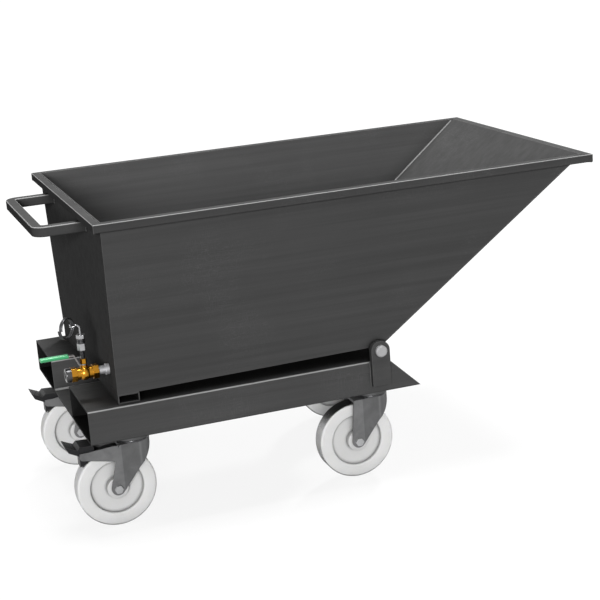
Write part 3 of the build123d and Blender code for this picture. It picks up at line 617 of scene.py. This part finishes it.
def bright_metal(name, rgb, smooth, smudge, metallic=1.0):
    """Bare or plated metal with finger marks and soft edges."""
    made, tree, shader, place = new_material(name)
    edge = use(tree, "edges", place, Radius=0.0008, Patches=70.0)
    peel = use(tree, "peel", place, Scale=900.0)
    scuff = use(tree, "scuffs", place, Scale=80.0)["Mask"]
    film = spread(tree, noise(tree, place, 65.0, 5.0, 0.6), 0.4, 0.7)
    coat = blend_colours(tree, film, tint(rgb, 1.08), tint(rgb, 1.0 - smudge))
    coat = laid_over(tree, coat, tint(rgb, 1.5), edge["Mask"], 0.35)
    grain = math_node(tree, "ADD", film, product(tree, scuff, 0.5))
    rough = spread(tree, grain, 0.0, 1.3, smooth, smooth + 0.22)
    connect(tree, shader, {"Base Color": coat, "Roughness": rough, "Metallic": metallic})
    relief(tree, shader, peel["Height"], 0.12, 0.0001, edge["Normal"])
    return made


def vinyl_sleeve():
    """Green dipped vinyl, slightly mottled."""
    rgb = bpy.context.scene.swarf_finish.grip
    made, tree, shader, place = new_material("green vinyl")
    edge = use(tree, "edges", place, Radius=0.001)
    peel = use(tree, "peel", place, Scale=500.0)
    cloud = noise(tree, place, 60.0, 4.0)
    coat = blend_colours(tree, cloud, tint(rgb, 0.8), tint(rgb, 1.2))
    coat = laid_over(tree, coat, VINYL_RUBBED, edge["Mask"], 0.35)
    rough = spread(tree, cloud, 0.3, 0.7, 0.25, 0.42)
    connect(tree, shader, {"Base Color": coat, "Roughness": rough, "Coat Weight": 0.3})
    relief(tree, shader, peel["Height"], 0.2, 0.0002, edge["Normal"])
    return made


finishes = {}
# Finish that a node has in place of its slot's own, by the start of the node's name
VARIANTS = {
    "rim_left": "rim",
    "rim_right": "rim",
    "rim_rear": "rim",
    "fork_pocket_": "tube",
    "push_handle": "rim",
    "chute_seams": "seam",
    "pocket_seams": "seam",
    "castor_axle": "fastener",
    "castor_bolts": "fastener",
    "castor_kingpins": "fastener",
    "castor_fork_": "fork",
    "castor_plate_": "plate",
    "outlet_": "smoked",
    "drain_nipple": "satin",
    "nipple_thread": "satin",
    "valve_stem": "dark_steel",
}


def finish_for(slot, node=None):
    """Material for a slot of the record, made on its first use. Some nodes have a variant of their own."""
    rgb = bpy.context.scene.swarf_finish
    if slot == "wheel":
        if node not in finishes:
            finishes[node] = wheel_plastic(node)
        return finishes[node]
    kind = slot
    if node:
        for start, other in VARIANTS.items():
            if node.startswith(start):
                kind = other
    if kind not in finishes:
        makers = {
            "paint": powder_coat,
            "tube": lambda: powder_coat("anthracite coat on tube", tube=True),
            # Painted shade: the rim and handle coat is a darker copy of the trough's coat
            "rim": lambda: powder_coat("anthracite coat on the rim, darkened as painted shade", tube=True, gain=0.82),
            # Painted highlight: the weld beads are a three times lighter copy of the coat
            "seam": lambda: powder_coat("anthracite coat on welds, lightened as painted highlight", gain=3.0, painted_shade_share=0.0),
            "zinc": zinc_plate,
            "fastener": lambda: zinc_plate("bright fasteners", 2.6),
            "fork": lambda: zinc_plate("zinc on pressed forks, webs darkened as painted shade", pressed=True),
            # Painted shade: the castor plates are a darker copy of the zinc
            "plate": lambda: zinc_plate("zinc darkened as painted shade", 0.6),
            "pedal": black_coat,
            "grip": vinyl_sleeve,
            "pin_steel": lambda: turned_steel("turned pin steel", rgb.pin_steel, "hinge_pins", 0.38),
            "brass": lambda: bright_metal("cast brass", rgb.brass, 0.22, 0.25),
            "chrome": lambda: bright_metal("bright chrome", rgb.chrome, 0.22, 0.15, 0.9),
            "smoked": lambda: bright_metal("smoked chrome", tint(rgb.chrome, 0.2)[:3], 0.2, 0.3, 0.9),
            "satin": lambda: bright_metal("satin nickel", tint(rgb.chrome, 1.2)[:3], 0.4, 0.1, 0.6),
            "steel": lambda: bright_metal("plain steel", rgb.steel, 0.3, 0.2),
            "dark_steel": lambda: bright_metal("blackened steel", rgb.dark_steel, 0.28, 0.3, 0.8),
        }
        finishes[kind] = makers[kind]()
    return finishes[kind]


# Modelling helpers

def activate(piece):
    """Select one piece alone and make it active."""
    bpy.ops.object.select_all(action="DESELECT")
    piece.select_set(True)
    bpy.context.view_layer.objects.active = piece


def settle():
    """Put the active piece's place, turn and scale into its mesh."""
    bpy.ops.object.transform_apply(location=True, rotation=True, scale=True)


def add(kind, **settings):
    """Add one primitive, alone and active, and put its place and turn into its mesh."""
    bpy.ops.object.select_all(action="DESELECT")
    getattr(bpy.ops.mesh, "primitive_" + kind + "_add")(**settings)
    settle()
    return bpy.context.object


def modify(kind, **settings):
    """Add a modifier to the active piece and apply it."""
    made = bpy.context.object.modifiers.new(kind.lower(), kind)
    for name, value in settings.items():
        setattr(made, name, value)
    bpy.ops.object.modifier_apply(modifier=made.name)


def soften(width):
    """Round the sharp edges of the active piece."""
    modify("BEVEL", width=width, segments=2, limit_method="ANGLE", angle_limit=0.6)


def lay(piece, start, run):
    """Turn a piece made along Z to run in a direction from a start."""
    activate(piece)
    piece.rotation_mode = "QUATERNION"
    piece.rotation_quaternion = run.to_track_quat("Z", "Y")
    piece.location = start
    settle()
    return piece


def copy_of(piece, move):
    """Copy of a piece with a mesh of its own, moved."""
    activate(piece)
    bpy.ops.object.duplicate()
    bpy.context.object.location = move
    settle()
    return bpy.context.object


def joined(pieces):
    """Join pieces to one."""
    activate(pieces[0])
    for piece in pieces:
        piece.select_set(True)
    if len(pieces) > 1:
        bpy.ops.object.join()
    return bpy.context.object


def pick_faces(piece, wanted):
    """Enter edit mode with the faces selected that the test wants by centre and normal."""
    activate(piece)
    bpy.ops.object.mode_set(mode="EDIT")
    bpy.ops.mesh.select_mode(type="FACE")
    bpy.ops.mesh.select_all(action="DESELECT")
    bpy.ops.object.mode_set(mode="OBJECT")
    for face in piece.data.polygons:
        face.select = wanted(face.center, face.normal)
    bpy.ops.object.mode_set(mode="EDIT")


def hand_over(piece, name, body, slot, node=None):
    """Give a piece its name, outward normals, smooth shading, the finish of its slot, and its body."""
    activate(piece)
    bpy.ops.object.mode_set(mode="EDIT")
    bpy.ops.mesh.select_all(action="SELECT")
    bpy.ops.mesh.normals_make_consistent(inside=False)
    bpy.ops.object.mode_set(mode="OBJECT")
    bpy.ops.object.shade_smooth_by_angle(angle=0.7)
    piece.name = name
    piece.data.name = name
    piece.data.materials.clear()
    piece.data.materials.append(finish_for(slot, node))
    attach(piece, body)


def weld_bead(start, end, radius):
    """Row of overlapping ripples, as a hand weld leaves them."""
    run = end - start
    ripple = add("uv_sphere", segments=8, ring_count=6, radius=radius)
    ripple.scale.z = 0.8
    settle()
    count = max(2, round(run.length / (radius * 0.75)))
    step = run.length / (count - 1)
    modify(
        "ARRAY",
        count=count,
        use_relative_offset=False,
        use_constant_offset=True,
        constant_offset_displace=(0.0, 0.0, step),
    )
    return lay(ripple, start, run)


def coil(start, end, radius, pitch, wire, sides):
    """Wire that a screw carries round a line, closed at both ends."""
    run = end - start
    quarter = math.pi / 2
    turns = add(
        "circle",
        vertices=sides,
        radius=wire,
        location=(radius, 0.0, 0.0),
        rotation=(quarter, quarter, 0.0),
    )
    modify(
        "SCREW",
        axis="Z",
        angle=2 * math.pi,
        screw_offset=pitch,
        iterations=int(run.length / pitch + 0.01),
        steps=32,
        render_steps=32,
    )
    bpy.ops.object.mode_set(mode="EDIT")
    bpy.ops.mesh.select_all(action="SELECT")
    bpy.ops.mesh.fill_holes(sides=0)
    bpy.ops.object.mode_set(mode="OBJECT")
    return lay(turns, start, run)


def thread(start, end, radius, pitch):
    """Helical ridge round a line, three-sided as a thread is."""
    return coil(start, end, radius, pitch, pitch * 0.55, 3)


# Operators

class SWARF_OT_finish_frame(bpy.types.Operator):
    """Give every part of the frame its finish"""

    bl_idname = "swarf.finish_frame"
    bl_label = "Finish the frame"

    def execute(self, context):
        for name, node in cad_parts.items():
            for place in node.material_slots:
                place.material = finish_for(place.material.name.split(".")[0], name)
        return {"FINISHED"}


class SWARF_OT_base_welds(bpy.types.Operator):
    """Weld beads at the hinge plates, the cross beam and the centre plate"""

    bl_idname = "swarf.base_welds"
    bl_label = "Base welds"

    def execute(self, context):
        radius = context.scene.swarf_detail.weld
        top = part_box("fork_pocket_left")[1].z
        beads = []
        for side, turn in (("left", 1), ("right", -1)):
            node = "hinge_plate_" + side
            low = corner(node, -1, -turn, -1)
            end = corner(node, 1, -turn, -1)
            for foot in (low, end):
                beads.append(weld_bead(foot, Vector((foot.x, foot.y, top)), radius))
            beads.append(weld_bead(low, end, radius))
            for across in BOTH:
                foot = corner("front_cross_beam", across, turn, -1)
                head = corner("front_cross_beam", across, turn, 1)
                beads.append(weld_bead(foot, head, radius))
        hand_over(joined(beads), "base_welds", "base", "paint")
        bead = radius * 1.6
        sunk = bead * 0.4
        plate_low, plate_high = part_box("centre_plate")
        seams = []
        for turn in BOTH:
            rear = Vector((plate_low.x + bead, turn * (plate_high.y - sunk), plate_high.z + sunk))
            front = Vector((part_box("front_cross_beam")[0].x - bead, rear.y, rear.z))
            seams.append(weld_bead(rear, front, bead))
        hand_over(joined(seams), "pocket_seams", "base", "paint", "pocket_seams")
        return {"FINISHED"}


class SWARF_OT_trough_welds(bpy.types.Operator):
    """Seams inside the trough, at the push handle and below the rim"""

    bl_idname = "swarf.trough_welds"
    bl_label = "Trough welds"

    def execute(self, context):
        radius = context.scene.swarf_detail.seam
        below_rim = radius * 5
        beads = []
        seams = []
        chute_low, chute_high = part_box("chute_sheet")
        slope = Vector((chute_low.z - chute_high.z, 0.0, chute_high.x - chute_low.x)).normalized()
        knee, lip = face_corners("chute_sheet", slope)
        rear_foot, rear_top = face_corners("rear_wall", Vector((1.0, 0.0, 0.0)))
        lip += (knee - lip).normalized() * below_rim
        rear_top += (rear_foot - rear_top).normalized() * below_rim
        for turn in BOTH:
            side = Vector((1.0, turn, 1.0))
            beads.append(weld_bead(rear_foot * side, rear_top * side, radius))
            beads.append(weld_bead(rear_foot * side, knee * side, radius))
            seams.append(weld_bead(knee * side, lip * side, radius * 1.8))
        low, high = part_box("push_handle")
        tube = high.z - low.z
        face = high.x - HANDLE_WELD_INSET
        for turn in BOTH:
            near, far = turn * (high.y - tube), turn * high.y
            ring = [(near, low.z), (far, low.z), (far, high.z), (near, high.z)]
            for index in range(4):
                start = Vector((face, *ring[index - 1]))
                end = Vector((face, *ring[index]))
                beads.append(weld_bead(start, end, radius))
        rim_low, rim_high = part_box("rim_left")
        tube = rim_high.z - rim_low.z
        for along, x in ((-1, rim_low.x), (1, rim_high.x)):
            for turn in BOTH:
                outer = Vector((x, turn * rim_high.y, rim_low.z))
                mitre = Vector((along, turn, 0.0))
                beads.append(weld_bead(outer - mitre * tube, outer - mitre * radius, radius))
        hand_over(joined(beads), "trough_welds", "trough", "paint")
        hand_over(joined(seams), "chute_seams", "trough", "paint", "chute_seams")
        return {"FINISHED"}


class SWARF_OT_pedal_ribs(bpy.types.Operator):
    """Tread ribs on the brake pedals"""

    bl_idname = "swarf.pedal_ribs"
    bl_label = "Pedal ribs"

    def execute(self, context):
        radius = context.scene.swarf_detail.rib
        across = (math.pi / 2, 0.0, 0.0)
        for name in ("rear_left", "rear_right"):
            node = "brake_pedal_" + name
            low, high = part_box(node)
            toe = Vector((low.x, middle(node).y, high.z))
            rib = add("cylinder", vertices=12, radius=radius, depth=RIB_LENGTH, rotation=across)
            soften(radius * 0.5)
            ribs = [copy_of(rib, toe + PEDAL_SLOPE * share) for share in RIB_SHARES]
            bpy.data.objects.remove(rib)
            hand_over(joined(ribs), "pedal_ribs_" + name, "pedal_" + name, "pedal")
        return {"FINISHED"}


class SWARF_OT_race_seals(bpy.types.Operator):
    """Dark seal ring below the swivel race of each castor"""

    bl_idname = "swarf.race_seals"
    bl_label = "Race seals"

    def execute(self, context):
        width = context.scene.swarf_detail.seal
        height = width * 2
        for name in CASTORS:
            fork = "castor_fork_" + name
            plate = middle("castor_plate_" + name)
            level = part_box(fork)[1].z - SEAL_BELOW_FORK_TOP - height / 2
            seal = add(
                "cylinder",
                vertices=72,
                radius=span(fork, 1) / 2 + width,
                depth=height,
                location=(plate.x, plate.y, level),
            )
            pick_faces(seal, lambda centre, normal: abs(normal.z) > 0.9)
            bpy.ops.mesh.inset(thickness=width * 0.9)
            bpy.ops.mesh.delete(type="FACE")
            bpy.ops.mesh.select_mode(type="EDGE")
            bpy.ops.mesh.select_all(action="DESELECT")
            bpy.ops.mesh.select_non_manifold(extend=False)
            bpy.ops.mesh.bridge_edge_loops()
            bpy.ops.object.mode_set(mode="OBJECT")
            soften(width * 0.25)
            hand_over(seal, "race_seal_" + name, "castor_" + name, "dark_steel")
        return {"FINISHED"}


class SWARF_OT_bolt_washers(bpy.types.Operator):
    """Washers under the heads of the castor bolts"""

    bl_idname = "swarf.bolt_washers"
    bl_label = "Bolt washers"

    def execute(self, context):
        thick = context.scene.swarf_detail.washer
        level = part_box("castor_bolts")[0].z + BOLT_HEAD - thick / 2
        washer = add("cylinder", vertices=40, radius=WASHER_RADIUS, depth=thick)
        soften(thick * 0.25)
        washers = []
        for name in CASTORS:
            plate = middle("castor_plate_" + name)
            for along in BOTH:
                for across in BOTH:
                    x = plate.x + along * BOLT_SPACING[0] / 2
                    y = plate.y + across * BOLT_SPACING[1] / 2
                    washers.append(copy_of(washer, (x, y, level)))
        bpy.data.objects.remove(washer)
        hand_over(joined(washers), "bolt_washers", "base", "zinc")
        return {"FINISHED"}


class SWARF_OT_threads(bpy.types.Operator):
    """Threads of the nipple, the outlet and the valve stem"""

    bl_idname = "swarf.threads"
    bl_label = "Threads"

    def execute(self, context):
        detail = context.scene.swarf_detail
        axis = middle("outlet_fitting")
        start = Vector((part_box("valve_body")[1].x - NIPPLE_THREAD_OVERLAP, axis.y, axis.z))
        end = start + Vector((NIPPLE_THREAD_RUN, 0.0, 0.0))
        nipple = thread(start, end, NIPPLE_RADIUS, detail.pipe_pitch)
        hand_over(nipple, "nipple_thread", "trough", "chrome", "nipple_thread")
        start = Vector((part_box("outlet_fitting")[0].x + OUTLET_THREAD_INSET, axis.y, axis.z))
        end = start + Vector((OUTLET_THREAD_RUN, 0.0, 0.0))
        outlet = thread(start, end, OUTLET_RADIUS, detail.pipe_pitch)
        hand_over(outlet, "outlet_thread", "trough", "chrome", "outlet_thread")
        axis = middle("valve_stem")
        start = Vector((axis.x, axis.y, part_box("lever_nut")[1].z - STEM_THREAD_OVERLAP))
        end = Vector((axis.x, axis.y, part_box("catch_sleeve")[0].z))
        stem = thread(start, end, span("valve_stem", 0) / 2, detail.stem_pitch)
        hand_over(stem, "stem_thread", "drain_lever", "dark_steel")
        return {"FINISHED"}


class SWARF_OT_split_ring(bpy.types.Operator):
    """Split ring of the lever catch, and the hook that holds it"""

    bl_idname = "swarf.split_ring"
    bl_label = "Split ring"

    def execute(self, context):
        wire = context.scene.swarf_detail.ring_wire
        bent = context.scene.swarf_detail.hook_wire
        sides = 12
        low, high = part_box("catch_ring")
        centre = (low + high) / 2
        radius = (high.z - low.z - wire) / 2
        to_pin = Vector((high.x - low.x, high.y - low.y, 0.0)).normalized()
        axis = Vector((-to_pin.y, to_pin.x, 0.0))
        ring = coil(centre - axis * wire, centre + axis * wire, radius, wire, wire / 2, sides)
        hand_over(ring, "split_ring", "lever_catch", "dark_steel")
        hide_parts("catch_ring")
        held = centre + to_pin * radius
        rise = Vector((0.0, 0.0, bent / 2))
        hook = coil(held - rise, held + rise, wire + bent / 2, bent, bent / 2, sides)
        hand_over(hook, "ring_hook", "lever_catch", "chrome")
        return {"FINISHED"}


# Stage

def backdrop_seen(tree):
    """One where the camera, a reflection or a clear piece shows the backdrop, and zero where it lights."""
    path = put(tree, "ShaderNodeLightPath").outputs
    shown = greater(tree, path["Is Camera Ray"], path["Is Glossy Ray"])
    return greater(tree, shown, path["Is Transmission Ray"])


def add_floor(stage):
    """Pale floor that keeps a soft shadow and throws little light back."""
    bpy.ops.object.select_all(action="DESELECT")
    bpy.ops.mesh.primitive_plane_add(size=FLOOR_SIZE, location=(0.0, 0.0, -FLOOR_DROP))
    floor = bpy.context.object
    floor.name = "studio_floor"
    made, tree, shader, place = new_material("studio floor")
    cloud = noise(tree, place, 2.0, 3.0)
    shade = blend_colours(tree, cloud, tint(stage.floor, 0.99), tint(stage.floor, 1.01))
    connect(tree, shader, {"Base Color": shade, "Roughness": 0.7, "Specular IOR Level": 0.2})
    glow = put(tree, "ShaderNodeEmission", {"Color": WHITE, "Strength": 1.0})
    pale = put(tree, "ShaderNodeMixShader", {0: FLOOR_GLOW, 1: shader.outputs[0], 2: glow.outputs[0]})
    dim = put(tree, "ShaderNodeBsdfDiffuse", {"Color": FLOOR_BOUNCE})
    seen = backdrop_seen(tree)
    mix = put(tree, "ShaderNodeMixShader", {0: seen, 1: dim.outputs[0], 2: pale.outputs[0]})
    connect(tree, tree.nodes["Material Output"], {"Surface": mix.outputs[0]})
    floor.data.materials.append(made)


def add_world():
    """White backdrop that lights softly from above."""
    world = bpy.data.worlds.new("soft studio")
    bpy.context.scene.world = world
    world.use_nodes = True
    tree = world.node_tree
    tree.nodes.clear()
    toward = put(tree, "ShaderNodeTexCoord").outputs["Generated"]
    facing = put(tree, "ShaderNodeVectorMath", {0: toward, 1: SKY_BRIGHTEST}, operation="DOT_PRODUCT")
    level = spread(tree, facing.outputs["Value"], -0.2, 1.0, 0.03, 0.24)
    soft = put(tree, "ShaderNodeBackground", {"Color": WHITE, "Strength": level})
    white = put(tree, "ShaderNodeBackground", {"Color": WHITE, "Strength": 1.0})
    seen = backdrop_seen(tree)
    mix = put(tree, "ShaderNodeMixShader", {0: seen, 1: soft.outputs[0], 2: white.outputs[0]})
    put(tree, "ShaderNodeOutputWorld", {"Surface": mix.outputs[0]})


def add_light(name, energy, width, aim):
    """Distant light with a width in degrees that shines along an aim."""
    light = bpy.data.lights.new(name, "SUN")
    light.energy = energy
    light.angle = math.radians(width)
    lamp = bpy.data.objects.new(name, light)
    lamp.rotation_mode = "QUATERNION"
    lamp.rotation_quaternion = Vector(aim).to_track_quat("-Z", "Y")
    bpy.context.scene.collection.objects.link(lamp)


def add_camera(focal_length):
    """Camera at the photograph's viewing angle."""
    lens = bpy.data.cameras.new("photo camera")
    lens.sensor_width = SENSOR_WIDTH
    lens.lens = focal_length
    lens.clip_end = 200.0
    camera = bpy.data.objects.new("photo camera", lens)
    back = CAMERA_RIGHT.cross(CAMERA_UP)
    turn = Matrix((CAMERA_RIGHT, CAMERA_UP, back)).transposed().to_4x4()
    camera.matrix_world = Matrix.Translation(CAMERA_PLACE) @ turn
    bpy.context.scene.collection.objects.link(camera)
    bpy.context.scene.camera = camera


class SWARF_OT_stage(bpy.types.Operator):
    """Floor, soft light and camera"""

    bl_idname = "swarf.stage"
    bl_label = "Stage"

    def execute(self, context):
        stage = context.scene.swarf_stage
        add_floor(stage)
        add_world()
        add_light("top light", stage.top, 20.0, (-0.14, 0.03, -0.99))
        add_light("front light", stage.front, 16.0, (0.34, 0.91, -0.21))
        add_light("back light", stage.back, 6.0, (-0.55, -0.68, -0.48))
        add_camera(stage.lens)
        context.scene.view_settings.view_transform = "Standard"
        return {"FINISHED"}


class SWARF_PT_panel(bpy.types.Panel):
    """Sizes, colours and steps of the swarf bin"""

    bl_idname = "SWARF_PT_panel"
    bl_label = "Swarf bin"
    bl_space_type = "VIEW_3D"
    bl_region_type = "UI"
    bl_category = "Swarf bin"

    def draw(self, context):
        for settings in (context.scene.swarf_finish, context.scene.swarf_detail, context.scene.swarf_stage):
            box = self.layout.box()
            for name in settings.bl_rna.properties.keys():
                if name not in ("rna_type", "name"):
                    box.prop(settings, name)
        for step in STEPS:
            self.layout.operator(step.bl_idname)


STEPS = (
    SWARF_OT_finish_frame,
    SWARF_OT_base_welds,
    SWARF_OT_trough_welds,
    SWARF_OT_pedal_ribs,
    SWARF_OT_race_seals,
    SWARF_OT_bolt_washers,
    SWARF_OT_threads,
    SWARF_OT_split_ring,
    SWARF_OT_stage,
)
CLASSES = (SwarfFinish, SwarfDetail, SwarfStage, *STEPS, SWARF_PT_panel)


def register():
    for kind in CLASSES:
        bpy.utils.register_class(kind)
    bpy.types.Scene.swarf_finish = PointerProperty(type=SwarfFinish)
    bpy.types.Scene.swarf_detail = PointerProperty(type=SwarfDetail)
    bpy.types.Scene.swarf_stage = PointerProperty(type=SwarfStage)


def unregister():
    del bpy.types.Scene.swarf_stage
    del bpy.types.Scene.swarf_detail
    del bpy.types.Scene.swarf_finish
    for kind in reversed(CLASSES):
        bpy.utils.unregister_class(kind)


def main():
    register()
    bpy.ops.swarf.finish_frame()
    bpy.ops.swarf.base_welds()
    bpy.ops.swarf.trough_welds()
    bpy.ops.swarf.pedal_ribs()
    bpy.ops.swarf.race_seals()
    bpy.ops.swarf.bolt_washers()
    bpy.ops.swarf.threads()
    bpy.ops.swarf.split_ring()
    bpy.ops.swarf.stage()


if __name__ == "__main__":
    main()
